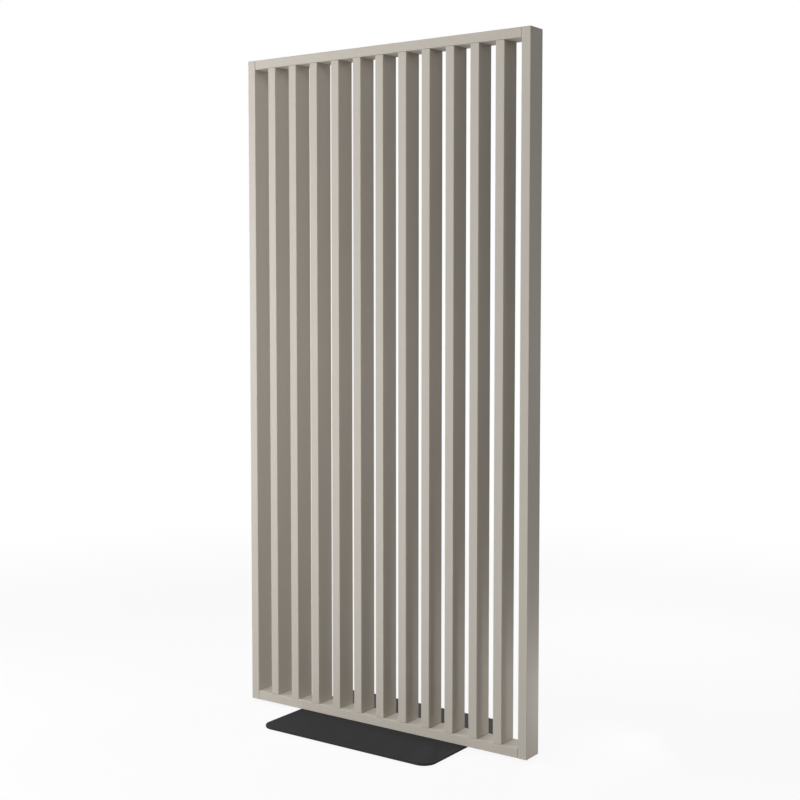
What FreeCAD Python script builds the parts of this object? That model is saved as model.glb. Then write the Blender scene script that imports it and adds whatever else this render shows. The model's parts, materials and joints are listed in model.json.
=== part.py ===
import FreeCAD, Part

import math
import os

from FreeCAD import Vector

# Free-standing garden privacy screen: a slatted panel of rectangular aluminium profiles on a
# flat steel base plate. Two full-height stiles hold a top and a bottom rail between them, and
# upright slats stand edge-on between the rails.
#
# Millimetres. +Z is up, the front faces -Y and +X is to the right, seen from the front. The
# origin is on the floor, under the middle of the base plate. The panel stands over that point.

# ---------------------------------------------------------------- driving dimensions

# Panel
panel_height = 1800.0
panel_width = 900.0
profile_depth = 60.0          # front to back, the same for stiles, rails and slats
stile_width = 25.0            # as seen from the front
rail_height = 25.0
slat_width = 25.0
slat_count = 11
frame_wall = 2.0              # wall of stiles and rails
slat_wall = 1.5
edge_radius = 1.5             # long outer edges of every profile
rail_end_chamfer = 1.5        # outer edges of the rails' ends, a shadow groove at each stile

# Plugs that join the slats to the rails
plug_depth_in_slat = 38.0
plug_wall = 3.0               # wall left around the moulded pockets
plug_lead_in = 2.0            # chamfer that guides the plug into the slat
collar_thickness = 0.5        # collar between slat and rail, a shadow line round the slat's end
collar_inset = 0.8            # from the outline of the slat to the collar
tongue_width = 14.0           # tongue through the wall of the rail, along X
tongue_depth = 40.0           # the same, along Y
tongue_reach = 8.0            # how far it stands into the rail

# Corner connectors: a block in the end of each rail with a tenon into the stile
connector_length = 40.0       # part inside the rail
connector_lead_in = 2.0
connector_rib = 6.0           # wall between the two pockets and round them
connector_pocket_depth = 12.0
tenon_depth = 44.0            # front to back
tenon_end_gap = 1.0           # between the tenon and the outer wall of the stile

# Flush caps in the ends of the stiles, each with a key that locks a tenon
cap_thickness = 4.0
cap_skirt_wall = 4.0
cap_skirt_depth = 15.0
key_width = 8.0               # along X
key_depth = 24.0              # front to back
key_reach = 10.0              # into the tenon
key_end_gap = 0.5             # between the key and the floor of its mortise

# Countersunk machine screws of the frame
screw_diameter = 5.0
screw_head_diameter = 9.0
screw_socket = 3.0            # hexagon, across flats
screw_socket_depth = 1.4
screw_grip = 10.0             # length of thread in the connector

# Base plate, the bar in the bottom rail that it is bolted to, and the pads under it
base_width = 541.0
base_depth = 404.0
base_thickness = 6.0
base_corner_radius = 35.0
base_edge_chamfer = 0.6
nut_bar_length = 420.0
nut_bar_depth = 50.0          # front to back
nut_bar_height = 8.0
nut_bar_chamfer = 1.0
bolt_diameter = 8.0
bolt_head_diameter = 15.0
bolt_socket = 5.0             # hexagon, across flats
bolt_socket_depth = 2.6
bolt_spacing_x = 360.0
bolt_spacing_y = 30.0
pad_diameter = 32.0
pad_thickness = 2.0
pad_inset = 48.0              # from the sides of the plate to the middle of a pad

# Rain drains out of the bottom rail here
drain_diameter = 5.0
drain_distance = 90.0         # from the end of the rail

# Named clearances, each per side
plug_fit = 0.15               # plug in slat
tongue_fit = 0.2              # tongue in the opening of the rail
connector_fit = 0.15          # connector in rail, cap in stile
key_fit = 0.1                 # key of the cap in its mortise
tenon_fit = 0.2               # tenon in the opening of the stile
screw_fit = 0.15              # shank and head in a clearance hole
thread_fit = 0.05             # shank in a threaded hole

# ---------------------------------------------------------------- derived places

panel_base = pad_thickness + base_thickness
panel_top = panel_base + panel_height
rail_length = panel_width - 2 * stile_width
rail_end = rail_length / 2
slat_length = panel_height - 2 * (rail_height + collar_thickness)
slat_bottom = panel_base + rail_height + collar_thickness
slat_top = slat_bottom + slat_length
stile_centre = (panel_width - stile_width) / 2
slat_gap = (rail_length - slat_count * slat_width) / (slat_count + 1)
slat_pitch = slat_gap + slat_width
slat_centres = [slat_pitch * (k - (slat_count - 1) / 2) for k in range(slat_count)]
bolt_length = base_thickness + frame_wall + nut_bar_height
tenon_height = rail_height - 2 * cap_thickness
overshoot = 1.0               # how far a cutting solid stands out of what it cuts

nodes = {}


# ---------------------------------------------------------------- helpers

def block(size, centre):
    """Box of the given size about its centre."""
    corner = Vector(*centre) - Vector(*size) * 0.5
    return Part.makeBox(size[0], size[1], size[2], corner)


def edges_along(shape, axis):
    """Straight edges that run along one axis, 0, 1 or 2 for X, Y or Z."""
    found = []
    for edge in shape.Edges:
        span = edge.Vertexes[-1].Point - edge.Vertexes[0].Point
        if abs(span[axis]) > 0.999 * span.Length > 0:
            found.append(edge)
    return found


def edges_in_plane(shape, axis, level):
    """Edges that lie whole in the plane square to an axis at one level."""
    found = []
    for edge in shape.Edges:
        middle = edge.valueAt((edge.FirstParameter + edge.LastParameter) / 2)
        points = [vertex.Point for vertex in edge.Vertexes] + [middle]
        if all(abs(point[axis] - level) < 1e-6 for point in points):
            found.append(edge)
    return found


def profile(size, centre, axis, wall, end_chamfer=None):
    """Rectangular tube along one axis, open at both ends, with round outer edges."""
    bar = block(size, centre)
    outer = bar.makeFillet(edge_radius, edges_along(bar, axis))
    if end_chamfer:
        levels = [centre[axis] + turn * size[axis] / 2 for turn in (-1, 1)]
        rims = [edge for level in levels for edge in edges_in_plane(bar, axis, level)]
        outer = outer.common(bar.makeChamfer(end_chamfer, rims))
    bore = [side - 2 * wall for side in size]
    bore[axis] = size[axis] + 2 * overshoot
    return outer.cut(block(bore, centre))


def turned(points):
    """Solid of revolution about Z from (radius, height) points."""
    wire = Part.makePolygon([Vector(r, 0, z) for r, z in points + points[:1]])
    return Part.Face(wire).revolve(Vector(0, 0, 0), Vector(0, 0, 1), 360)


def hexagon(across_flats, depth):
    """Hexagonal prism from the origin upwards."""
    corner = across_flats / math.sqrt(3)
    turns = [math.radians(60 * k) for k in range(7)]
    wire = Part.makePolygon([Vector(corner * math.cos(a), corner * math.sin(a), 0) for a in turns])
    return Part.Face(wire).extrude(Vector(0, 0, depth))


def countersunk_screw(diameter, head_diameter, length, socket, socket_depth):
    """Screw that points up, with the face of its right-angled head at the origin."""
    radius = diameter / 2
    head = head_diameter / 2
    body = turned([(0, 0), (head, 0), (radius, head - radius), (radius, length), (0, length)])
    return body.cut(hexagon(socket, socket_depth))


def countersunk_hole(diameter, head_diameter, length, shank_fit):
    """Cutting solid for such a screw, with the surface that it is sunk into at z = 0."""
    radius = diameter / 2 + shank_fit
    head = head_diameter / 2 + shank_fit
    return turned([(0, -overshoot), (head + overshoot, -overshoot), (radius, head - radius),
                   (radius, length), (0, length)])


def placed(shape, place, upward=True):
    """Copy of a shape that points up from the origin, moved to a place and pointing up or down."""
    copy = shape.copy()
    if not upward:
        copy.rotate(Vector(0, 0, 0), Vector(1, 0, 0), 180)
    copy.translate(Vector(*place))
    return copy


def mirrored(shape, side):
    """The shape for the right side (+1), or its mirror image for the left side (-1)."""
    return shape if side > 0 else shape.mirror(Vector(0, 0, 0), Vector(1, 0, 0))


def fused(shapes):
    return shapes[0].multiFuse(shapes[1:]) if len(shapes) > 1 else shapes[0]


# The two ends of the panel: its outer level, the direction towards the slats, and a name
ends = {"bottom": (panel_base, 1), "top": (panel_top, -1)}
sides = {"left": -1, "right": 1}


# ---------------------------------------------------------------- fasteners and their holes

rail_screw_length = frame_wall + connector_fit + screw_grip

rail_screw_offset = rail_end - connector_length / 2
bolt_places = [(sx * bolt_spacing_x / 2, sy * bolt_spacing_y / 2)
               for sx in (-1, 1) for sy in (-1, 1)]


def frame_screw(length):
    return countersunk_screw(screw_diameter, screw_head_diameter, length, screw_socket,
                             screw_socket_depth)


def frame_screw_hole(length, shank_fit):
    return countersunk_hole(screw_diameter, screw_head_diameter, length, shank_fit)


def holes_through(diameter, wall_bottom, wall, places):
    """Cutting solid for plain round holes through a level wall."""
    return fused([Part.makeCylinder(diameter / 2, wall + 2 * overshoot,
                                    Vector(x, y, wall_bottom - overshoot)) for x, y in places])


# ---------------------------------------------------------------- stiles

def tenon_opening(end):
    """Cutting solid for the opening of the right stile that a tenon goes through."""
    level, inward = ends[end]
    size = (frame_wall + 2 * overshoot, tenon_depth + 2 * tenon_fit, tenon_height + 2 * tenon_fit)
    return block(size, (rail_end + frame_wall / 2, 0, level + inward * rail_height / 2))


def stile():
    size = (stile_width, profile_depth, panel_height)
    tube = profile(size, (stile_centre, 0, (panel_base + panel_top) / 2), 2, frame_wall)
    return tube.cut(fused([tenon_opening(end) for end in ends]))


for name, side in sides.items():
    nodes[name + "_stile"] = mirrored(stile(), side)


# ---------------------------------------------------------------- rails

def rail(end):
    """Rail with an opening for each slat's tongue and holes for the screws of its connectors."""
    level, inward = ends[end]
    middle = level + inward * rail_height / 2
    tube = profile((rail_length, profile_depth, rail_height), (0, 0, middle), 0, frame_wall,
                   rail_end_chamfer)
    inner_wall = level + inward * (rail_height - frame_wall / 2)
    opening = (tongue_width + 2 * tongue_fit, tongue_depth + 2 * tongue_fit,
               frame_wall + 2 * overshoot)
    cuts = [block(opening, (x, 0, inner_wall)) for x in slat_centres]
    hole = frame_screw_hole(frame_wall + overshoot, screw_fit)
    cuts += [placed(hole, (side * rail_screw_offset, 0, level), inward > 0)
             for side in sides.values()]
    return tube.cut(fused(cuts))


nodes["top_rail"] = rail("top")

drain_places = [(side * (rail_end - drain_distance), 0) for side in sides.values()]
bolt_clearance = holes_through(bolt_diameter + 2 * screw_fit, panel_base, frame_wall, bolt_places)
drains = holes_through(drain_diameter, panel_base, frame_wall, drain_places)
nodes["bottom_rail"] = rail("bottom").cut(bolt_clearance).cut(drains)


# ---------------------------------------------------------------- slats and their plugs

def slat(x):
    size = (slat_width, profile_depth, slat_length)
    return profile(size, (x, 0, (slat_bottom + slat_top) / 2), 2, slat_wall)


def slat_plug():
    """Moulded plug that points up into a slat, with the slat's end on its collar at the origin."""
    body_width = slat_width - 2 * (slat_wall + plug_fit)
    body_depth = profile_depth - 2 * (slat_wall + plug_fit)
    body = block((body_width, body_depth, plug_depth_in_slat), (0, 0, plug_depth_in_slat / 2))
    body = body.makeChamfer(plug_lead_in, edges_in_plane(body, 2, plug_depth_in_slat))
    collar = block((slat_width - 2 * collar_inset, profile_depth - 2 * collar_inset,
                    collar_thickness), (0, 0, -collar_thickness / 2))
    reach = collar_thickness + frame_wall + tongue_reach
    tongue = block((tongue_width, tongue_depth, reach), (0, 0, -reach / 2))
    pocket = (body_width - 2 * plug_wall, (body_depth - 3 * plug_wall) / 2, plug_depth_in_slat)
    pocket_offset = (pocket[1] + plug_wall) / 2
    pockets = [block(pocket, (0, row * pocket_offset, plug_depth_in_slat / 2 + plug_wall))
               for row in (-1, 1)]
    return fused([body, collar, tongue]).removeSplitter().cut(fused(pockets))


for number, x in enumerate(slat_centres, start=1):
    nodes["slat_%02d" % number] = slat(x)

plug = slat_plug()
for end, mouth in (("bottom", slat_bottom), ("top", slat_top)):
    nodes["slat_plugs_" + end] = Part.makeCompound(
        [placed(plug, (x, 0, mouth), end == "bottom") for x in slat_centres])


# ---------------------------------------------------------------- corner connectors and caps

def connector(end):
    """Connector of the right side: a block in the rail and a tenon into the stile."""
    level, inward = ends[end]
    middle = level + inward * rail_height / 2
    body_depth = profile_depth - 2 * (frame_wall + connector_fit)
    body_height = rail_height - 2 * (frame_wall + connector_fit)
    body = block((connector_length, body_depth, body_height),
                 (rail_end - connector_length / 2, 0, middle))
    inner_rim = edges_in_plane(body, 0, rail_end - connector_length)
    body = body.makeChamfer(connector_lead_in, inner_rim)
    reach = stile_width - frame_wall - tenon_end_gap
    tenon = block((reach, tenon_depth, tenon_height), (rail_end + reach / 2, 0, middle))
    boss = screw_diameter + 2 * connector_rib
    pocket_size = (connector_length - 2 * connector_rib,
                   (body_depth - boss) / 2 - connector_rib, connector_pocket_depth)
    pocket_level = level + inward * (rail_height - frame_wall - connector_fit
                                     - connector_pocket_depth / 2)
    pockets = [block(pocket_size, (rail_screw_offset, row * (boss + pocket_size[1]) / 2, pocket_level))
               for row in (-1, 1)]
    hole = placed(frame_screw_hole(rail_screw_length, thread_fit),
                  (rail_screw_offset, 0, level), inward > 0)
    mortise = cap_key(end, key_fit, key_reach + key_end_gap)
    return body.fuse(tenon).removeSplitter().cut(fused(pockets + [hole, mortise]))


def cap_key(end, fit, reach):
    """Key of a right cap, grown by a fit on its sides, from the inner face of the cap's plate."""
    level, inward = ends[end]
    size = (key_width + 2 * fit, key_depth + 2 * fit, reach)
    return block(size, (stile_centre, 0, level + inward * (cap_thickness + reach / 2)))


def stile_cap(end):
    """Cap of the right stile: a flush plate, two skirts past the tenon and the key into it."""
    level, inward = ends[end]
    width = stile_width - 2 * (frame_wall + connector_fit)
    depth = profile_depth - 2 * (frame_wall + connector_fit)
    plate = block((width, depth, cap_thickness), (stile_centre, 0, level + inward * cap_thickness / 2))
    skirt_offset = (depth - cap_skirt_wall) / 2
    skirts = [block((width, cap_skirt_wall, cap_skirt_depth),
                    (stile_centre, row * skirt_offset, level + inward * cap_skirt_depth / 2))
              for row in (-1, 1)]
    return fused([plate, cap_key(end, 0, key_reach)] + skirts).removeSplitter()


for end in ends:
    for name, side in sides.items():
        nodes["connector_%s_%s" % (end, name)] = mirrored(connector(end), side)
        nodes["stile_cap_%s_%s" % (end, name)] = mirrored(stile_cap(end), side)

rail_screw = frame_screw(rail_screw_length)
nodes["rail_screws"] = Part.makeCompound(
    [placed(rail_screw, (side * rail_screw_offset, 0, level), inward > 0)
     for level, inward in ends.values() for side in sides.values()])


# ---------------------------------------------------------------- base

def base_plate():
    """Flat plate with round corners and a broken upper edge, countersunk from below."""
    middle = pad_thickness + base_thickness / 2
    plate = block((base_width, base_depth, base_thickness), (0, 0, middle))
    plate = plate.makeFillet(base_corner_radius, edges_along(plate, 2))
    plate = plate.makeChamfer(base_edge_chamfer, edges_in_plane(plate, 2, panel_base))
    hole = countersunk_hole(bolt_diameter, bolt_head_diameter, base_thickness + overshoot,
                            screw_fit)
    return plate.cut(fused([placed(hole, (x, y, pad_thickness)) for x, y in bolt_places]))


def nut_bar():
    """Steel bar on the floor of the bottom rail, with a threaded hole for each bolt."""
    bottom = panel_base + frame_wall
    bar = block((nut_bar_length, nut_bar_depth, nut_bar_height),
                (0, 0, bottom + nut_bar_height / 2))
    bar = bar.makeChamfer(nut_bar_chamfer, edges_in_plane(bar, 2, bottom + nut_bar_height))
    thread = bolt_diameter + 2 * thread_fit
    return bar.cut(holes_through(thread, bottom, nut_bar_height, bolt_places))


bolt = countersunk_screw(bolt_diameter, bolt_head_diameter, bolt_length, bolt_socket,
                         bolt_socket_depth)
pad = Part.makeCylinder(pad_diameter / 2, pad_thickness)
pad_places = [(sx * (base_width / 2 - pad_inset), sy * (base_depth / 2 - pad_inset))
              for sx in (-1, 1) for sy in (-1, 1)]

nodes["base_plate"] = base_plate()
nodes["nut_bar"] = nut_bar()
nodes["base_bolts"] = Part.makeCompound([placed(bolt, (x, y, pad_thickness)) for x, y in bolt_places])
nodes["base_pads"] = Part.makeCompound([placed(pad, (x, y, 0)) for x, y in pad_places])


# ---------------------------------------------------------------- one STEP file for each node

os.makedirs("parts", exist_ok=True)
for name, shape in nodes.items():
    shape.exportStep("parts/%s.step" % name)
    print("%-24s %2d solids %10.0f mm3" % (name, len(shape.Solids), shape.Volume))
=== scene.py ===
# %% [markdown]
# # A garden privacy screen
#
# The screen is an upright slatted panel of powder coated aluminium profiles on a thin steel base
# plate. Its stiles, rails, plugs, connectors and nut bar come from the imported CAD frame. This
# lesson loads that frame and gives every surface its real finish. It models the slats, the base
# plate, the caps, the fasteners and the floor pads again with finer edges and forms, and it lights
# the whole as in a white studio.

# %% Load the frame
import json
import math

import bmesh
import bpy
from mathutils import Matrix, Vector

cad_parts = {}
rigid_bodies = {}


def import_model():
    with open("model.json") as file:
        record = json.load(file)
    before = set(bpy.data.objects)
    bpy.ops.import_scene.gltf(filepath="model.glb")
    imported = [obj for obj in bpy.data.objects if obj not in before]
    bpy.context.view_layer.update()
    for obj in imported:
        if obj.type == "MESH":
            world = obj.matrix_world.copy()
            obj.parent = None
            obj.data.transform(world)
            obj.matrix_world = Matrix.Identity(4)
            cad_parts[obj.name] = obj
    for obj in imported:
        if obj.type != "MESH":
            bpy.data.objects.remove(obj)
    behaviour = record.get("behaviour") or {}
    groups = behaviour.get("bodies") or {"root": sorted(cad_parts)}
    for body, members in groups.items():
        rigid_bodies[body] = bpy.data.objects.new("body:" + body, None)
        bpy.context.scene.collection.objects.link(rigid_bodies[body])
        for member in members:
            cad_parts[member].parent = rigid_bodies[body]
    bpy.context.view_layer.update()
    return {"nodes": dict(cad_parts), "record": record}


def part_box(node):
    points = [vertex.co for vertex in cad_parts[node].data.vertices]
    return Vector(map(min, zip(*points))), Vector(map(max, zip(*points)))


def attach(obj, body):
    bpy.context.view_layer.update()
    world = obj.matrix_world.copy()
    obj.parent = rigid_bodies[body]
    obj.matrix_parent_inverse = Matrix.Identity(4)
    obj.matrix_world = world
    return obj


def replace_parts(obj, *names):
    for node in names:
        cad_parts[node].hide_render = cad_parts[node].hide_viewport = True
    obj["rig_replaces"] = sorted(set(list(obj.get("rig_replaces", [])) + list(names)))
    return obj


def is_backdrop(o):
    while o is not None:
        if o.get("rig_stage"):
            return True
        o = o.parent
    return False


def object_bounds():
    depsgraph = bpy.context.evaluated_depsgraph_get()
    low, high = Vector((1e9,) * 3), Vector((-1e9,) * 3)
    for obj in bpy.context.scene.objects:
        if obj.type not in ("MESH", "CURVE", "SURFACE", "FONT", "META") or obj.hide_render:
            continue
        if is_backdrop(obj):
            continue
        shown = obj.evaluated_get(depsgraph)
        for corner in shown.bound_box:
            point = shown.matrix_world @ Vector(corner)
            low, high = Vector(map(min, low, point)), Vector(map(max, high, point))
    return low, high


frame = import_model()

nodes = frame["nodes"]
mm = 0.001  # Blender works in metres

# %% [markdown]
# ## Where things are
#
# Every place is worked out from the boxes of the CAD nodes, so nothing has to be fitted by eye.
# The two ends of the panel and the box of the base plate are needed most.

# %% Places read from the frame
panel_low, panel_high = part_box("right_stile")
plate_low, plate_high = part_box("base_plate")
panel_bottom, panel_top = panel_low.z, panel_high.z
print("panel from", round(panel_bottom, 4), "to", round(panel_top, 4), "m")


# %% [markdown]
# ## Colours and material nodes
#
# Finishes are quoted as sRGB hex values, as on a paint card. A shader works in linear light, so
# one function turns a hex value into linear numbers. A second small function adds any shader
# node with its settings and its links, which keeps each material readable from top to bottom.

# %% Helpers for materials
def linear(hex_colour):
    """Linear RGBA of an sRGB hex colour."""
    levels = [int(hex_colour[i:i + 2], 16) / 255 for i in (1, 3, 5)]
    return [v / 12.92 if v <= 0.04045 else ((v + 0.055) / 1.055) ** 2.4 for v in levels] + [1.0]


def add(tree, kind, links=None, **settings):
    """Adds a node. Settings are attributes or sockets by name; links maps sockets to outputs."""
    node = tree.nodes.new("ShaderNode" + kind)
    for name, value in settings.items():
        if hasattr(node, name):
            setattr(node, name, value)
        else:
            node.inputs[name.replace("_", " ")].default_value = value
    for name, output in (links or {}).items():
        tree.links.new(output, node.inputs[name])
    return node


def new_material(name):
    material = bpy.data.materials.new(name)
    material.use_nodes = True
    material.node_tree.nodes.clear()
    return material, material.node_tree


# %% [markdown]
# ## Powder coat
#
# Polyester powder is sprayed on the bare profile and baked. It melts to a skin of about 0.1 mm
# that is never quite flat: a long, shallow orange peel a few millimetres wide, with the fine
# grain of a matt texture coat on top. It hides the aluminium completely, so the shader is a
# dielectric and not a metal. The coat also pulls thin over a sharp edge and gets rubbed there,
# so edges are a little smoother than the faces. They are also painted a little lighter, partly
# as that wear and partly as a painted highlight on the round edges.
#
# Two noise patterns make the height. A real texture grain is about 0.3 mm; it is drawn at
# 0.9 mm, because the finer one would vanish between two pixels. The edges are found by
# comparing the true normal with one that is rounded off over a small radius.

# %% Powder coat material
batch_cloud_mm = 160


def powder_coat(name, colour, edge_wear_and_highlight, shade, peel_mm, grain_mm, roughness, edge_mm, gloss=0.5):
    """Matt texture powder coat over metal, on Object coordinates in metres."""
    material, tree = new_material(name)
    place = add(tree, "TexCoord").outputs["Object"]
    peel = add(tree, "TexNoise", {"Vector": place}, Scale=1 / (peel_mm * mm), Detail=1.0,
               Roughness=0.4).outputs["Fac"]
    grain = add(tree, "TexNoise", {"Vector": place}, Scale=1 / (grain_mm * mm), Detail=2.0,
                Roughness=0.6).outputs["Fac"]
    cloud = add(tree, "TexNoise", {"Vector": place}, Scale=1 / (batch_cloud_mm * mm), Detail=3.0,
                Roughness=0.55).outputs["Fac"]

    # Edge mask: 0 on a flat face, towards 1 where the rounded normal leaves the true one.
    round_normal = add(tree, "Bevel", Radius=edge_mm * mm, samples=4).outputs["Normal"]
    true_normal = add(tree, "NewGeometry").outputs["Normal"]
    agreement = add(tree, "VectorMath", {0: round_normal, 1: true_normal},
                    operation="DOT_PRODUCT").outputs["Value"]
    edge = add(tree, "MapRange", {"Value": agreement}, clamp=True, From_Min=0.995, From_Max=0.90)
    patchy = add(tree, "MapRange", {"Value": peel}, clamp=True, From_Min=0.35, From_Max=0.65)
    # Mask of the edges that are painted lighter, as wear and as a painted highlight; it also makes
    # them smoother.
    wear_and_highlight_mask = add(tree, "Math", {0: edge.outputs["Result"], 1: patchy.outputs["Result"]},
               operation="MULTIPLY").outputs["Value"]

    # Colour: batch clouding, the specks of the grain, then the lighter edges, part wear and part
    # painted highlight.
    clouded = add(tree, "MixRGB", {"Fac": cloud}, Color1=linear(shade), Color2=linear(colour))
    speck = add(tree, "MapRange", {"Value": grain}, clamp=True, From_Min=0.25, From_Max=0.75,
                To_Min=0.965, To_Max=1.035)
    specked = add(tree, "VectorMath",
                  {0: clouded.outputs["Color"], "Scale": speck.outputs["Result"]},
                  operation="SCALE")
    # The edge colour is partly wear and partly a painted highlight.
    final = add(tree, "MixRGB", {"Fac": wear_and_highlight_mask, "Color1": specked.outputs["Vector"]},
                Color2=linear(edge_wear_and_highlight))

    # Height: the peel is broad and shallow, the grain fine and sharper.
    peel_bump = add(tree, "Bump", {"Height": peel, "Normal": round_normal}, Strength=0.25,
                    Distance=0.06 * mm)
    grain_bump = add(tree, "Bump", {"Height": grain, "Normal": peel_bump.outputs["Normal"]},
                     Strength=0.35, Distance=0.05 * mm)
    sheen_of_wear = add(tree, "MapRange", {"Value": wear_and_highlight_mask}, clamp=True, To_Min=roughness,
                        To_Max=roughness - 0.15)
    shader = add(tree, "BsdfPrincipled",
                 {"Base Color": final.outputs["Color"], "Normal": grain_bump.outputs["Normal"],
                  "Roughness": sheen_of_wear.outputs["Result"]}, IOR=1.5, Specular_IOR_Level=gloss)
    add(tree, "OutputMaterial", {"Surface": shader.outputs["BSDF"]})
    return material


# The second colour of each coat is its lighter edge: partly wear, partly a painted highlight.
taupe_coat = powder_coat("powder_coat_warm_grey", "#C6BFB4", "#D2CCC2", "#C2BBB0",
                         peel_mm=4.0, grain_mm=0.9, roughness=0.62, edge_mm=0.8)
charcoal_coat = powder_coat("powder_coat_charcoal", "#232426", "#343537", "#212224",
                            peel_mm=4.0, grain_mm=0.9, roughness=0.66, edge_mm=0.6, gloss=0.2)
print("powder coats", taupe_coat.name, charcoal_coat.name)


# %% [markdown]
# ## Metals and plastics of the small pieces
#
# The corner connectors are raw die castings, the nut bar and bolts are zinc plated steel, the
# rail screws are stainless. The plugs are black moulded nylon, the caps are nylon in the colour of
# the coat, and the floor pads are rubber. None of them is large, but each has its own roughness
# and grain.

# %% Plain metal, moulded plastic and rubber
def bare_metal(name, colour, roughness, grain_mm, depth_mm):
    """Uncoated metal with a fine grain that makes it rougher and smoother in turn."""
    material, tree = new_material(name)
    place = add(tree, "TexCoord").outputs["Object"]
    grain = add(tree, "TexNoise", {"Vector": place}, Scale=1 / (grain_mm * mm), Detail=3.0,
                Roughness=0.6).outputs["Fac"]
    tone = add(tree, "MapRange", {"Value": grain}, clamp=True, To_Min=roughness - 0.08,
               To_Max=roughness + 0.08)
    bump = add(tree, "Bump", {"Height": grain}, Strength=0.3, Distance=depth_mm * mm)
    shader = add(tree, "BsdfPrincipled",
                 {"Roughness": tone.outputs["Result"], "Normal": bump.outputs["Normal"]},
                 Base_Color=linear(colour), Metallic=1.0)
    add(tree, "OutputMaterial", {"Surface": shader.outputs["BSDF"]})
    return material


def moulded(name, colour, shade, roughness, grain_mm, depth_mm, ior):
    """Moulded nylon or rubber with a fine spark-eroded grain."""
    material, tree = new_material(name)
    place = add(tree, "TexCoord").outputs["Object"]
    grain = add(tree, "TexNoise", {"Vector": place}, Scale=1 / (grain_mm * mm), Detail=2.0,
                Roughness=0.55).outputs["Fac"]
    mottled = add(tree, "MixRGB", {"Fac": grain}, Color1=linear(shade), Color2=linear(colour))
    bump = add(tree, "Bump", {"Height": grain}, Strength=0.4, Distance=depth_mm * mm)
    shader = add(tree, "BsdfPrincipled",
                 {"Base Color": mottled.outputs["Color"], "Normal": bump.outputs["Normal"]},
                 Roughness=roughness, IOR=ior)
    add(tree, "OutputMaterial", {"Surface": shader.outputs["BSDF"]})
    return material


die_cast = bare_metal("aluminium_die_cast", "#B4B5B6", 0.48, grain_mm=1.2, depth_mm=0.05)
zinc_plate = bare_metal("steel_zinc_plated", "#B9BCBF", 0.34, grain_mm=0.8, depth_mm=0.02)
stainless = bare_metal("steel_stainless", "#C4C3C0", 0.28, grain_mm=0.5, depth_mm=0.01)
plug_nylon = moulded("nylon_black", "#262626", "#202020", 0.55,
                     grain_mm=0.7, depth_mm=0.03, ior=1.53)
cap_nylon = moulded("nylon_warm_grey", "#BDB6AB", "#B8B1A6", 0.6,
                    grain_mm=0.7, depth_mm=0.03, ior=1.53)
pad_rubber = moulded("rubber_black", "#1E1E1E", "#181818", 0.8,
                     grain_mm=0.9, depth_mm=0.06, ior=1.52)

# %% Give each CAD node its finish
finishes = {
    "frame_coat": taupe_coat, "slat_coat": taupe_coat, "base_coat": charcoal_coat,
    "plug_plastic": plug_nylon, "cap_plastic": cap_nylon, "connector_metal": die_cast,
    "bar_steel": zinc_plate, "bolt_steel": zinc_plate, "screw_steel": stainless,
    "pad_rubber": pad_rubber,
}
for part in frame["record"]["subparts"]:
    mesh = nodes[part["node"]].data
    mesh.materials.clear()
    mesh.materials.append(finishes[part["material_slot"]])

# %% [markdown]
# ## Shaping pieces
#
# The stiles and rails are right as they come from the frame. The slats, the base plate, the caps,
# the fasteners and the floor pads have softer edges and finer forms than the frame needs, so they
# are modelled again in their places.
#
# Each starts as a primitive and is shaped in edit mode, as by hand. An operator acts on all that
# is selected, so everything is deselected first, and edges or faces are then picked by where
# their corners are. A piece that repeats is modelled once at the origin and copied.

# %% Helpers for shaping
def begin(name):
    """Names the primitive that was just added, moves its place into its mesh and opens it."""
    piece = bpy.context.active_object
    piece.name = piece.data.name = name
    bpy.ops.object.transform_apply(location=True, rotation=True, scale=True)
    bpy.ops.object.mode_set(mode="EDIT")
    return piece


def pick(kind, test):
    """Selects the edges or faces of the open mesh whose corners pass a test, given as a list."""
    bpy.ops.mesh.select_mode(type=kind)
    bpy.ops.mesh.select_all(action="DESELECT")
    mesh = bmesh.from_edit_mesh(bpy.context.edit_object.data)
    found = [item for item in (mesh.edges if kind == "EDGE" else mesh.faces)
             if test([vertex.co for vertex in item.verts])]
    for item in found:
        item.select_set(True)
    mesh.select_flush_mode()
    bmesh.update_edit_mesh(bpy.context.edit_object.data)
    return len(found)


def near(value, level):
    return abs(value - level) < 0.003 * mm


def at_level(z):
    """Test for edges and faces that lie at one height."""
    return lambda corners: all(near(co.z, z) for co in corners)


def upright(corners):
    """Test for edges that stand upright."""
    return not near(corners[0].z, corners[-1].z) and near(corners[0].x, corners[-1].x)


def pull(offset):
    """Extrudes the picked faces along an offset."""
    bpy.ops.mesh.extrude_region_move(TRANSFORM_OT_translate={"value": offset})


def soften(radius, segments=3):
    """Rounds the picked edges."""
    bpy.ops.mesh.bevel(offset=radius, segments=segments, affect="EDGES")


def close(smooth_angle=35):
    """Closes edit mode with the normals turned outwards and shades round faces smooth."""
    bpy.ops.mesh.select_all(action="SELECT")
    bpy.ops.mesh.remove_doubles(threshold=0.001 * mm)
    bpy.ops.mesh.normals_make_consistent(inside=False)
    bpy.ops.object.mode_set(mode="OBJECT")
    bpy.ops.object.shade_smooth_by_angle(angle=math.radians(smooth_angle))


def cut_away(piece, cutter):
    """Takes a cutter's shape out of a piece and removes the cutter."""
    bpy.ops.object.select_all(action="DESELECT")
    piece.select_set(True)
    bpy.context.view_layer.objects.active = piece
    cut = piece.modifiers.new("cut", "BOOLEAN")
    cut.operation, cut.solver, cut.object = "DIFFERENCE", "EXACT", cutter
    bpy.ops.object.modifier_apply(modifier=cut.name)
    bpy.data.objects.remove(cutter)


def copied(model, name, place, upside_down=False):
    """A copy with its own mesh, with its place and turn moved into the mesh."""
    twin = bpy.data.objects.new(name, model.data.copy())
    twin.data.name = name
    bpy.context.scene.collection.objects.link(twin)
    turn = Matrix.Rotation(math.pi if upside_down else 0.0, 4, "X")
    twin.data.transform(Matrix.Translation(place) @ turn)
    return twin


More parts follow.
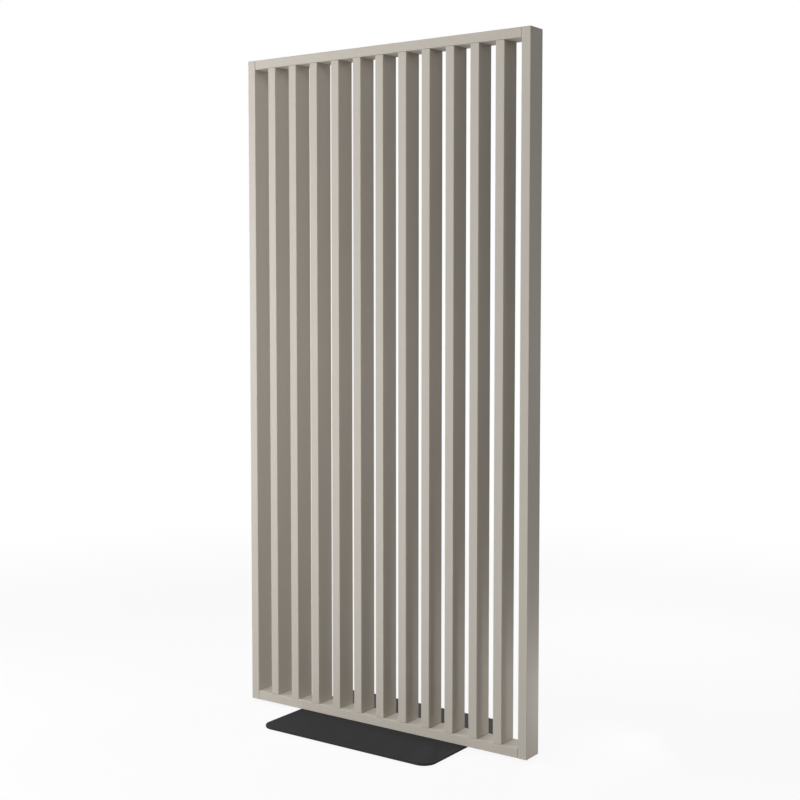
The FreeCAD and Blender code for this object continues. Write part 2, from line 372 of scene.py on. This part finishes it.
def settle_normals(piece):
    """Large faces keep their own direction, so that only the round edges are shaded as round."""
    bpy.ops.object.select_all(action="DESELECT")
    piece.select_set(True)
    bpy.context.view_layer.objects.active = piece
    bpy.ops.object.modifier_add(type="WEIGHTED_NORMAL")
    weighting = piece.modifiers[-1]
    weighting.mode, weighting.weight, weighting.keep_sharp = "FACE_AREA", 100, True
    bpy.ops.object.modifier_apply(modifier=weighting.name)


def hand_over(piece, node, slot_name):
    """The piece stands for a CAD node, rides on the body and takes the finish of its slot."""
    settle_normals(piece)
    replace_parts(piece, node)
    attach(piece, "root")
    piece.data.materials.clear()
    piece.data.materials.append(finishes[slot_name])


# %% [markdown]
# ## Slats
#
# A fine dark line runs round both ends of every slat: it stands on the thin black collar of its
# plug, half a millimetre off the rail. The slats are most of what is seen, so they are modelled
# again with truly round edges and with the soft rim that the coat leaves at a cut end.
#
# A slat is an extruded tube. So a block gets its round edges, both end faces are inset by the
# wall, and bridging the two inner faces opens the tube. The rim at each cut comes last. The wall
# is a little thinner than the edge's radius, so that the inset doesn't fold at the corners.

# %% Slats
slat_wall, edge_round, cut_rim = 1.4 * mm, 1.5 * mm, 0.35 * mm
slat_nodes = sorted(name for name in nodes if name.startswith("slat_") and name[-2:].isdigit())
middle_low, middle_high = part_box(slat_nodes[len(slat_nodes) // 2])
cuts = (middle_low.z, middle_high.z)
half_width, half_depth = (middle_high.x - middle_low.x) / 2, (middle_high.y - middle_low.y) / 2

bpy.ops.object.select_all(action="DESELECT")
bpy.ops.mesh.primitive_cube_add(size=1, location=(0, 0, (cuts[0] + cuts[1]) / 2),
                                scale=(2 * half_width, 2 * half_depth, cuts[1] - cuts[0]))
model = begin("slat_model")
pick("EDGE", upright)
soften(edge_round, segments=5)
for level in cuts:
    pick("FACE", at_level(level))
    bpy.ops.mesh.inset(thickness=slat_wall)


def inside(corners):
    return all(abs(co.x) < half_width - slat_wall + 0.01 * mm
               and abs(co.y) < half_depth - slat_wall + 0.01 * mm for co in corners)


pick("FACE", lambda corners: inside(corners)
     and (at_level(cuts[0])(corners) or at_level(cuts[1])(corners)))
bpy.ops.mesh.bridge_edge_loops()
pick("EDGE", lambda corners: (at_level(cuts[0])(corners) or at_level(cuts[1])(corners))
     and not any(inside([co]) for co in corners))
soften(cut_rim, segments=2)
close()
for name in slat_nodes:
    low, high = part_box(name)
    hand_over(copied(model, name + "_coated", ((low.x + high.x) / 2, 0, 0)), name, "slat_coat")
print(len(slat_nodes), "slats of", len(model.data.polygons), "faces")
bpy.data.objects.remove(model)

# %% [markdown]
# ## Base plate
#
# The real plate is laser cut from 6 mm steel. Its rim is ground a little round, and the powder
# coat rounds it more. So the block's upright edges get the large corner radius, and both rims a
# small one. Its bolts are sunk in from below. A seat's cone and hole are easiest to draw as the
# tool that makes them, so one cutter is shaped like a countersink and used at the four places.
# The cone starts a little below the plate, so that the cut leaves no skin.

# %% Base plate blank with a soft rim
corner_radius, rim_radius = 35 * mm, 1.1 * mm

bpy.ops.object.select_all(action="DESELECT")
bpy.ops.mesh.primitive_cube_add(size=1, location=(plate_low + plate_high) / 2,
                                scale=plate_high - plate_low)
plate = begin("base_plate_coated")
pick("EDGE", upright)
soften(corner_radius, segments=18)
for level in (plate_low.z, plate_high.z):
    pick("EDGE", at_level(level))
    soften(rim_radius, segments=4)
close()
print("plate blank", len(plate.data.polygons), "faces")

# %% Bolt seats from below
bolt_mm, bolt_head_mm, fit_mm = 8.0, 15.0, 0.15
bolts_low, bolts_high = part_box("base_bolts")
bolt_x = bolts_high.x - bolt_head_mm / 2 * mm
bolt_y = bolts_high.y - bolt_head_mm / 2 * mm
bolt_spots = [Vector((sx * bolt_x, sy * bolt_y, plate_low.z)) for sx in (-1, 1) for sy in (-1, 1)]

overshoot = 1 * mm
wide = (bolt_head_mm / 2 + fit_mm) * mm + overshoot
narrow = (bolt_mm / 2 + fit_mm) * mm
bpy.ops.object.select_all(action="DESELECT")
bpy.ops.mesh.primitive_cone_add(vertices=48, radius1=wide, radius2=narrow, depth=wide - narrow,
                                location=(0, 0, (wide - narrow) / 2 - overshoot))
countersink = begin("countersink")
pick("FACE", at_level(wide - narrow - overshoot))
pull((0, 0, plate_high.z - plate_low.z))
close()
for spot in bolt_spots:
    cut_away(plate, copied(countersink, "countersink_cut", spot))
bpy.data.objects.remove(countersink)
hand_over(plate, "base_plate", "base_coat")
print("base plate", len(plate.data.polygons), "faces, seats at", round(bolt_x, 4), round(bolt_y, 4))


# %% [markdown]
# ## Countersunk screws and bolts
#
# Both are hexagon socket machine screws with a right-angled head. The blank is a cone, because
# that is the head's own shape; its small end is drawn out into the shank and pointed. A separate
# hexagonal punch with a drilled tip makes the socket, and the edges round the socket's mouth and
# round the head are then broken. The thread is a true helix: one V-shaped groove profile that the
# Screw modifier winds up the shank.

# %% Helper that models a screw
def countersunk_screw(name, thread_mm, head_mm, length_mm, socket_mm, socket_depth_mm, pitch_mm):
    """Screw that points up from the origin, with the face of its head at height 0."""
    radius, head = thread_mm / 2 * mm, head_mm / 2 * mm
    depth = 0.6 * pitch_mm * mm  # of the thread, a little less than the full 60 degree form
    core, length = radius - depth, length_mm * mm
    neck = head - core

    bpy.ops.object.select_all(action="DESELECT")
    bpy.ops.mesh.primitive_cone_add(vertices=48, radius1=head, radius2=core, depth=neck,
                                    location=(0, 0, neck / 2))
    screw = begin(name)
    pick("EDGE", at_level(0))
    soften(0.02 * head_mm * mm, segments=2)
    pick("FACE", at_level(neck))
    pull((0, 0, length - neck))
    pick("EDGE", at_level(length))
    soften(0.5 * depth, segments=1)
    close()

    punch_radius = socket_mm / math.sqrt(3) * mm
    socket_depth = socket_depth_mm * mm
    bpy.ops.object.select_all(action="DESELECT")
    bpy.ops.mesh.primitive_cylinder_add(vertices=6, radius=punch_radius, depth=2 * socket_depth)
    punch = begin("punch")
    pick("FACE", at_level(socket_depth))
    pull((0, 0, 0.25 * socket_mm * mm))
    bpy.ops.transform.resize(value=(0.1, 0.1, 1.0), center_override=(0, 0, 0))
    close()
    cut_away(screw, punch)

    bpy.context.view_layer.objects.active = screw
    bpy.ops.object.mode_set(mode="EDIT")
    pick("EDGE", lambda corners: at_level(0)(corners)
         and all(co.xy.length < punch_radius + 0.01 * mm for co in corners))
    soften(0.04 * socket_mm * mm, segments=2)
    close(30)
    return screw, core, neck


# %% Helper that winds the thread
def thread_on(screw, thread_mm, pitch_mm, start, end):
    """Winds a 60 degree thread up a screw's shank from one height to another."""
    steps_per_turn = 20
    pitch = pitch_mm * mm
    turns = int((end - start) / pitch) - 1
    bpy.ops.object.select_all(action="DESELECT")
    bpy.ops.mesh.primitive_circle_add(vertices=3, radius=pitch / 2,
                                      rotation=(math.pi / 2, math.pi / 2, 0),
                                      location=(thread_mm / 2 * mm - pitch / 2, 0, start + pitch))
    ridge = begin("ridge")
    bpy.ops.object.mode_set(mode="OBJECT")
    wind = ridge.modifiers.new("wind", "SCREW")
    wind.axis, wind.angle, wind.screw_offset = "Z", 2 * math.pi, pitch
    wind.iterations, wind.steps, wind.render_steps = turns, steps_per_turn, steps_per_turn
    bpy.ops.object.modifier_apply(modifier=wind.name)
    bpy.ops.object.mode_set(mode="EDIT")
    bpy.ops.mesh.select_mode(type="EDGE")
    bpy.ops.mesh.select_all(action="DESELECT")
    bpy.ops.mesh.select_non_manifold()
    bpy.ops.mesh.fill()
    close()
    crest = max(vertex.co.xy.length for vertex in ridge.data.vertices)
    screw.select_set(True)
    bpy.context.view_layer.objects.active = screw
    bpy.ops.object.join()
    return turns, crest


# %% [markdown]
# The rail screws are stainless M5 screws, one up or down into each corner connector. The base
# bolts are zinc plated M8 bolts from under the plate through the rail into the bar.

# %% Rail screws
screws_low, screws_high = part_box("rail_screws")
screw_mm, screw_head_mm, screw_length_mm, screw_pitch_mm = 5.0, 9.0, 12.15, 0.8
screw_x = screws_high.x - screw_head_mm / 2 * mm
model, core, neck = countersunk_screw("rail_screw_model", screw_mm, screw_head_mm, screw_length_mm,
                                      socket_mm=3.0, socket_depth_mm=1.4,
                                      pitch_mm=screw_pitch_mm)
turns, crest = thread_on(model, screw_mm, screw_pitch_mm, neck, screw_length_mm * mm)
for side, sign in (("left", -1), ("right", 1)):
    for end, level in (("bottom", screws_low.z), ("top", screws_high.z)):
        hand_over(copied(model, "rail_screw_%s_%s" % (end, side), (sign * screw_x, 0, level),
                         upside_down=end == "top"), "rail_screws", "screw_steel")
print("rail screw", len(model.data.polygons), "faces,", turns, "turns, crest", round(crest / mm, 3))
bpy.data.objects.remove(model)

# %% Base bolts
bolt_length_mm, bolt_pitch_mm = (bolts_high.z - bolts_low.z) / mm, 1.25
model, core, neck = countersunk_screw("base_bolt_model", bolt_mm, bolt_head_mm, bolt_length_mm,
                                      socket_mm=5.0, socket_depth_mm=2.6, pitch_mm=bolt_pitch_mm)
turns, crest = thread_on(model, bolt_mm, bolt_pitch_mm, neck, bolts_high.z - bolts_low.z)
for number, spot in enumerate(bolt_spots, start=1):
    hand_over(copied(model, "base_bolt_%d" % number, spot), "base_bolts", "bolt_steel")
print("base bolt", len(model.data.polygons), "faces,", turns, "turns, crest", round(crest / mm, 3))
bpy.data.objects.remove(model)

# %% [markdown]
# ## Floor pads
#
# Each pad is a moulded rubber disc stuck under the plate. Its foot has two ring grooves, so that
# it grips a smooth floor and lets water out. The rings are made by insetting the round face twice
# and pushing the ring between both insets up into the pad.

# %% Floor pads
pads_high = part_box("base_pads")[1]
pad_radius, foot_round, top_round = 16 * mm, 0.5 * mm, 0.2 * mm
groove_depth, groove_width = 0.6 * mm, 1.6 * mm
groove_radii = (12.5 * mm, 7.5 * mm)
pad_x, pad_y = pads_high.x - pad_radius, pads_high.y - pad_radius

bpy.ops.object.select_all(action="DESELECT")
bpy.ops.mesh.primitive_cylinder_add(vertices=64, radius=pad_radius, depth=pads_high.z,
                                    location=(0, 0, pads_high.z / 2))
model = begin("floor_pad_model")
pick("EDGE", at_level(0))
soften(foot_round)
pick("EDGE", at_level(pads_high.z))
soften(top_round, segments=2)
for outer in groove_radii:
    pick("FACE", at_level(0))
    inner_most = [face for face in bmesh.from_edit_mesh(model.data).faces if face.select]
    bpy.ops.mesh.select_all(action="DESELECT")
    reach = min(max(v.co.xy.length for v in face.verts) for face in inner_most)
    pick("FACE", lambda corners: at_level(0)(corners)
         and max(co.xy.length for co in corners) < reach + 0.01 * mm)
    bpy.ops.mesh.inset(thickness=reach - outer)
    bpy.ops.mesh.inset(thickness=groove_width)
    pick("FACE", lambda corners: at_level(0)(corners) and all(
        outer - groove_width - 0.05 * mm < co.xy.length < outer + 0.05 * mm for co in corners)
        and len(corners) == 4)
    pull((0, 0, groove_depth))
close()
for sx in (-1, 1):
    for sy in (-1, 1):
        name = "floor_pad_%s_%s" % ("front" if sy < 0 else "back", "left" if sx < 0 else "right")
        hand_over(copied(model, name, (sx * pad_x, sy * pad_y, 0)), "base_pads", "pad_rubber")
print("floor pad", len(model.data.polygons), "faces at", round(pad_x, 4), round(pad_y, 4))
bpy.data.objects.remove(model)

# %% [markdown]
# ## Stile caps
#
# A cap is moulded nylon in the colour of the coat. Its plate fills the open end of the stile and
# lies flush. Two skirts grip the walls in front of and behind the tenon, and a key drops into the
# tenon's mortise. The plate is a block with soft upper edges, so that a fine shadow line runs
# round it. Its lower face is divided by straight cuts, and skirts and key are pulled out of it.

# %% Stile caps
cap_low, cap_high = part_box("stile_cap_top_right")
half_width, half_depth = (cap_high.x - cap_low.x) / 2, (cap_high.y - cap_low.y) / 2
cap_plate, skirt_wall, skirt_reach = 4 * mm, 4 * mm, cap_high.z - cap_low.z
key_half_width, key_half_depth, key_reach = 4 * mm, 12 * mm, 10 * mm
corner_round, rim_round, tip_round = 0.8 * mm, 0.7 * mm, 0.6 * mm

bpy.ops.object.select_all(action="DESELECT")
bpy.ops.mesh.primitive_cube_add(size=1, location=(0, 0, -cap_plate / 2),
                                scale=(2 * half_width, 2 * half_depth, cap_plate))
model = begin("stile_cap_model")
pick("EDGE", upright)
soften(corner_round)
pick("EDGE", at_level(0))
soften(rim_round, segments=4)
for axis, places in ((1, (-half_depth + skirt_wall, -key_half_depth, key_half_depth,
                          half_depth - skirt_wall)), (0, (-key_half_width, key_half_width))):
    for place in places:
        point, normal = [0, 0, 0], [0, 0, 0]
        point[axis], normal[axis] = place, 1
        pick("FACE", at_level(-cap_plate))
        bpy.ops.mesh.bisect(plane_co=point, plane_no=normal)
for sign in (-1, 1):
    pick("FACE", lambda corners: at_level(-cap_plate)(corners) and all(
        sign * co.y > half_depth - skirt_wall - 0.01 * mm for co in corners))
    pull((0, 0, cap_plate - skirt_reach))
pick("FACE", lambda corners: at_level(-cap_plate)(corners) and all(
    abs(co.x) < key_half_width + 0.01 * mm and abs(co.y) < key_half_depth + 0.01 * mm
    for co in corners))
pull((0, 0, -key_reach))
bpy.ops.mesh.select_all(action="SELECT")
bpy.ops.mesh.dissolve_limited(angle_limit=math.radians(1))
for level in (-skirt_reach, -cap_plate - key_reach):
    pick("EDGE", at_level(level))
    soften(tip_round, segments=2)
close()
for side, sign in (("left", -1), ("right", 1)):
    for end, level in (("bottom", panel_bottom), ("top", panel_top)):
        hand_over(copied(model, "moulded_cap_%s_%s" % (end, side),
                         (sign * (cap_low.x + cap_high.x) / 2, 0, level),
                         upside_down=end == "bottom"),
                  "stile_cap_%s_%s" % (end, side), "cap_plastic")
print("stile cap", len(model.data.polygons), "faces")
bpy.data.objects.remove(model)

# %% Check of the new pieces
new_pieces = [piece for piece in bpy.context.scene.objects if "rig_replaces" in piece]
for piece in sorted(new_pieces, key=lambda piece: piece.name):
    mesh = bmesh.new()
    mesh.from_mesh(piece.data)
    loose = sum(not edge.is_manifold for edge in mesh.edges)
    print("%-26s %6d faces, %d open edges, volume %.2f cm3"
          % (piece.name, len(mesh.faces), loose, mesh.calc_volume(signed=True) * 1e6))
    mesh.free()

# %% [markdown]
# ## The studio
#
# The floor and the background are white to the camera. The photograph's screen shows little
# light from below, as over a grey floor, so the light that bounces meets a grey one. To the
# camera and in reflections it is nine tenths white glow and one tenth white surface near the
# screen, and all glow far away, so that it reads as white and still keeps a soft shadow.

# %% Floor
floor_size = 60.0
floor_gap = 0.1 * mm          # below the pads, so that no two faces lie in one plane
glow_near, glow_far = 1.2, 3.5  # distances between which the floor turns to pure glow
bpy.ops.object.select_all(action="DESELECT")
bpy.ops.mesh.primitive_plane_add(size=floor_size, location=(0, 0, -floor_gap))
floor = bpy.context.active_object
floor.name = "studio_floor"


def seen_directly(tree):
    """1 for camera, glossy and transmission rays, 0 for light that bounces off matt surfaces."""
    path = add(tree, "LightPath")
    either = add(tree, "Math", {0: path.outputs["Is Camera Ray"], 1: path.outputs["Is Glossy Ray"]},
                 operation="MAXIMUM")
    return add(tree, "Math", {0: either.outputs["Value"], 1: path.outputs["Is Transmission Ray"]},
               operation="MAXIMUM").outputs["Value"]


def floor_material():
    material, tree = new_material("studio_floor_white")
    place = add(tree, "TexCoord").outputs["Object"]
    distance = add(tree, "VectorMath", {0: place}, operation="LENGTH").outputs["Value"]
    far = add(tree, "MapRange", {"Value": distance}, clamp=True, interpolation_type="SMOOTHSTEP",
              From_Min=glow_near, From_Max=glow_far, To_Min=0.90, To_Max=1.0)
    seen = seen_directly(tree)
    glow_share = add(tree, "Math", {0: far.outputs["Result"], 1: seen}, operation="MULTIPLY")
    grey = add(tree, "BsdfDiffuse", Color=linear("#8C8C8C"))
    white = add(tree, "BsdfDiffuse", Color=linear("#F4F4F4"))
    matt = add(tree, "MixShader", {"Fac": seen, 1: grey.outputs["BSDF"], 2: white.outputs["BSDF"]})
    glow = add(tree, "Emission", Color=(1, 1, 1, 1), Strength=1.0)
    mix = add(tree, "MixShader", {"Fac": glow_share.outputs["Value"], 1: matt.outputs["Shader"],
                                  2: glow.outputs["Emission"]})
    add(tree, "OutputMaterial", {"Surface": mix.outputs["Shader"]})
    return material


floor.data.materials.append(floor_material())
floor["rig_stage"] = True
print("floor", floor_size, "m")

# %% [markdown]
# ## Light
#
# The front of the screen is brightest at its left edge and falls off evenly to the right. The
# sides that face right are in soft shade, and the lowest ends of those at the right are brighter
# again, as if a pale floor lay beside them. One soft box on the left and one above the front do
# most of it. A second one on the left and two in front reach low, so that the bottom rail is as
# bright as the top rail. Two behind light the tops of the rails. One on the right lifts the shaded
# sides, and a small one close to the floor lifts their lowest ends; its cone is narrowed, so that
# less of it falls on the floor beside it. The strengths are a least-squares fit to the
# photograph's grey values, which works because light adds up. Only the narrowed lamp was then set
# anew, matched to the photograph.

# %% World and lamps
world = bpy.data.worlds.new("studio_surround")
bpy.context.scene.world = world
world.use_nodes = True
world.node_tree.nodes.clear()
surround_level = 0.07
tree = world.node_tree
dim = add(tree, "Background", Color=(1, 1, 1, 1), Strength=surround_level)
white = add(tree, "Background", Color=(1, 1, 1, 1), Strength=1.0)
mix = add(tree, "MixShader", {"Fac": seen_directly(tree), 1: dim.outputs["Background"],
                              2: white.outputs["Background"]})
add(tree, "OutputWorld", {"Surface": mix.outputs["Shader"]})


def soft_box(name, place, aim, size, watts, spread=180):
    """Rectangular lamp that points at a place; spread is the angle of its cone in degrees."""
    data = bpy.data.lights.new(name, "AREA")
    data.shape = "RECTANGLE"
    data.size, data.size_y = size
    data.energy = watts
    data.spread = math.radians(spread)
    lamp = bpy.data.objects.new(name, data)
    bpy.context.scene.collection.objects.link(lamp)
    lamp.location = place
    lamp.rotation_euler = (Vector(aim) - Vector(place)).to_track_quat("-Z", "Y").to_euler()
    lamp.visible_camera = False


soft_box("left_front", (-1.7, -1.1, 1.5), (0, 0, 1.0), (0.9, 1.4), 20.0)
soft_box("left_low", (-1.7, -1.1, 0.8), (0, 0, 0.8), (0.9, 0.9), 7.8)
soft_box("front_top", (0.3, -1.6, 2.9), (0, 0, 0.95), (1.2, 0.8), 16.8)
soft_box("front_middle", (0, -2.4, 0.7), (0, 0, 0.5), (1.0, 0.8), 11.0)
soft_box("front_low", (-0.2, -1.7, 0.2), (0, 0, 0.05), (1.0, 0.3), 5.3)
soft_box("back_top", (0.3, 2.4, 2.8), (0, 0, 0.6), (1.5, 1.0), 17.4)
soft_box("back_low", (0.2, 1.6, 0.9), (0, 0, 0.1), (1.0, 0.5), 6.8)
soft_box("right", (2.4, -0.2, 1.0), (0.45, 0, 0.8), (0.8, 0.8), 7.0)
soft_box("right_card", (0.72, 0.32, 0.10), (0.30, 0, 0.13), (0.25, 0.12), 0.28, spread=120)
print("surround", surround_level)

# %% [markdown]
# ## Camera
#
# The photograph was taken from the front right, about 3.4 m away and 1.2 m above the floor, with
# upright lines kept upright. The lens and the place come from the perspective of the panel and of
# the base plate. A shift of 28 pixels and a tilt of 3.5 degrees stand for the photograph's larger
# shift, so that the screen stays inside the picture in views from other sides. That moves no
# corner by more than about 3 pixels.

# %% Camera
image_size = 800
focal_px = 1349.4
sensor_mm = 36.0
heading = math.radians(35.048)
tilt = math.radians(3.496)
principal_row = 372.0  # the row of the picture that the lens points at
camera_place = (2.0796, -2.8997, 1.1747)

camera_data = bpy.data.cameras.new("camera")
camera_data.sensor_width = sensor_mm
camera_data.lens = focal_px * sensor_mm / image_size
camera_data.shift_y = (principal_row - image_size / 2) / image_size
camera = bpy.data.objects.new("camera", camera_data)
bpy.context.scene.collection.objects.link(camera)
camera.location = camera_place
camera.rotation_euler = (math.radians(90) - tilt, 0, heading)
bpy.context.scene.camera = camera
bpy.context.scene.view_settings.view_transform = "Standard"
print("lens", round(camera_data.lens, 2), "mm, shift", round(camera_data.shift_y, 4))

# %% Sizes and finish
low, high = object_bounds()
